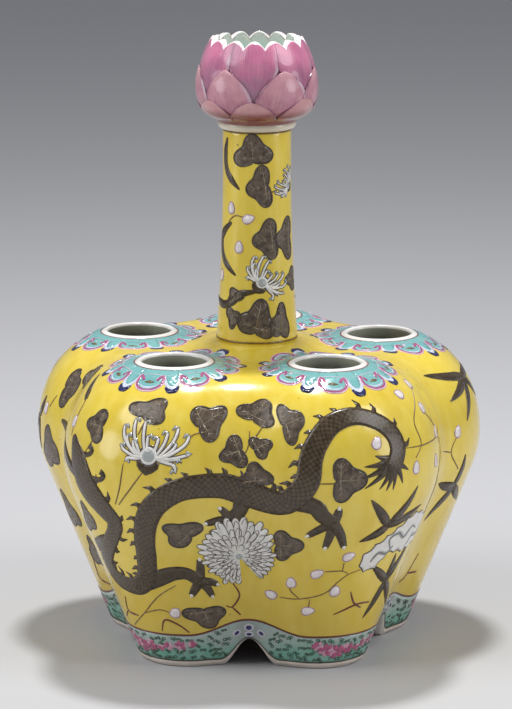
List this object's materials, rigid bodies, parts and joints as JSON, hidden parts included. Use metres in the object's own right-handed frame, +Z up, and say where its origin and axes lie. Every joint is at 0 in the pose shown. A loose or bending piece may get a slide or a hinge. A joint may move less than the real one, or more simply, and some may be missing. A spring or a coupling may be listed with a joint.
{
  "type": "crocus vase",
  "caption": "Lobed porcelain flower vase on arched feet, with short stem mouths round its shoulder and a tall neck that ends in a lotus cup, all opening into one water reservoir.",
  "frame": {"origin": "on the table, under the axis of the neck", "axes": "+Z up along the neck, -Y out through the crease between the two front lobes"},
  "size_m": [0.1876, 0.1834, 0.254],
  "materials": {
    "yellow_glaze": "glossy yellow enamel with painted decoration",
    "white_glaze": "glossy white glaze",
    "lotus_glaze": "glossy pink enamel with fine brush lines",
    "bare_porcelain": "smooth pale glaze under the base"
  },
  "bodies": {
    "root": {"lobe_front_left": "yellow_glaze", "lobe_front_right": "yellow_glaze", "lobe_right": "yellow_glaze", "lobe_back": "yellow_glaze", "lobe_left": "yellow_glaze", "crease_front": "yellow_glaze", "crease_front_right": "yellow_glaze", "crease_back_right": "yellow_glaze", "crease_back_left": "yellow_glaze", "crease_front_left": "yellow_glaze", "base_slab": "bare_porcelain", "shoulder_plate": "yellow_glaze", "neck_mound": "yellow_glaze", "mouth_rim_front_left": "white_glaze", "mouth_rim_front_right": "white_glaze", "mouth_rim_right": "white_glaze", "mouth_rim_back": "white_glaze", "mouth_rim_left": "white_glaze", "neck_tube": "yellow_glaze", "neck_collar": "white_glaze", "lotus_cup": "lotus_glaze", "lotus_lower_petal_1": "lotus_glaze", "lotus_lower_petal_2": "lotus_glaze", "lotus_lower_petal_3": "lotus_glaze", "lotus_lower_petal_4": "lotus_glaze", "lotus_lower_petal_5": "lotus_glaze", "lotus_lower_petal_6": "lotus_glaze", "lotus_lower_petal_7": "lotus_glaze", "lotus_middle_petal_1": "lotus_glaze", "lotus_middle_petal_2": "lotus_glaze", "lotus_middle_petal_3": "lotus_glaze", "lotus_middle_petal_4": "lotus_glaze", "lotus_middle_petal_5": "lotus_glaze", "lotus_middle_petal_6": "lotus_glaze", "lotus_middle_petal_7": "lotus_glaze", "lotus_upper_petal_1": "lotus_glaze", "lotus_upper_petal_2": "lotus_glaze", "lotus_upper_petal_3": "lotus_glaze", "lotus_upper_petal_4": "lotus_glaze", "lotus_upper_petal_5": "lotus_glaze", "lotus_upper_petal_6": "lotus_glaze", "lotus_upper_petal_7": "lotus_glaze"}
  },
  "joints": []
}
